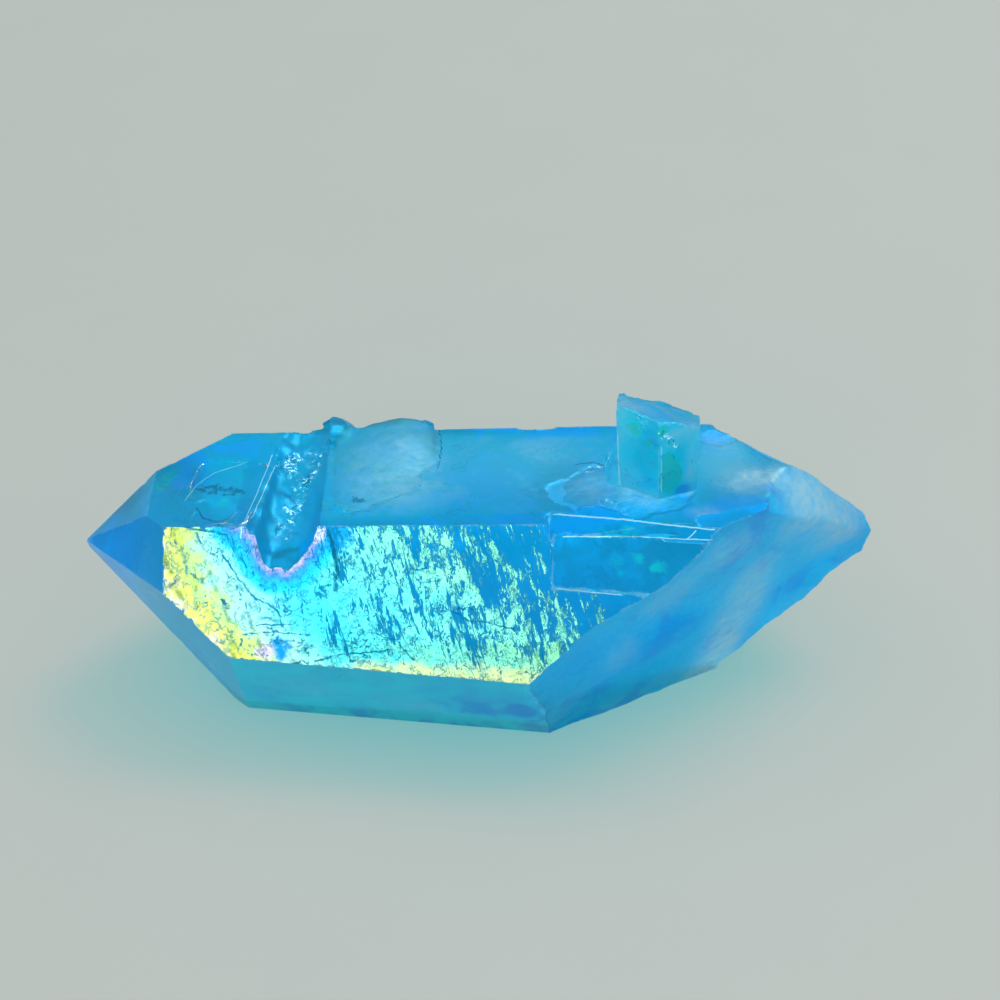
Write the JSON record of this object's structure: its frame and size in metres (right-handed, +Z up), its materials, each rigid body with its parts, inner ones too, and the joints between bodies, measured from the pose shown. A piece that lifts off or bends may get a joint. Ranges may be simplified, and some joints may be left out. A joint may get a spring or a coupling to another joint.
{
  "type": "aura quartz crystal",
  "caption": "Six-sided quartz crystal lying on one of its faces, pointed at one end and broken at the other, with the stump of a side crystal on top.",
  "frame": {"origin": "middle of the bottom of the crystal's box, on the surface that it rests on", "axes": "+X along the crystal from its point to its broken end, +Y towards the back, +Z up"},
  "size_m": [0.06, 0.0242, 0.0267],
  "materials": {
    "aura_quartz": "clear quartz with a thin blue metal coating that shows rainbow colours, frosted where it is broken"
  },
  "bodies": {
    "root": {"quartz_crystal": "aura_quartz"}
  },
  "joints": []
}
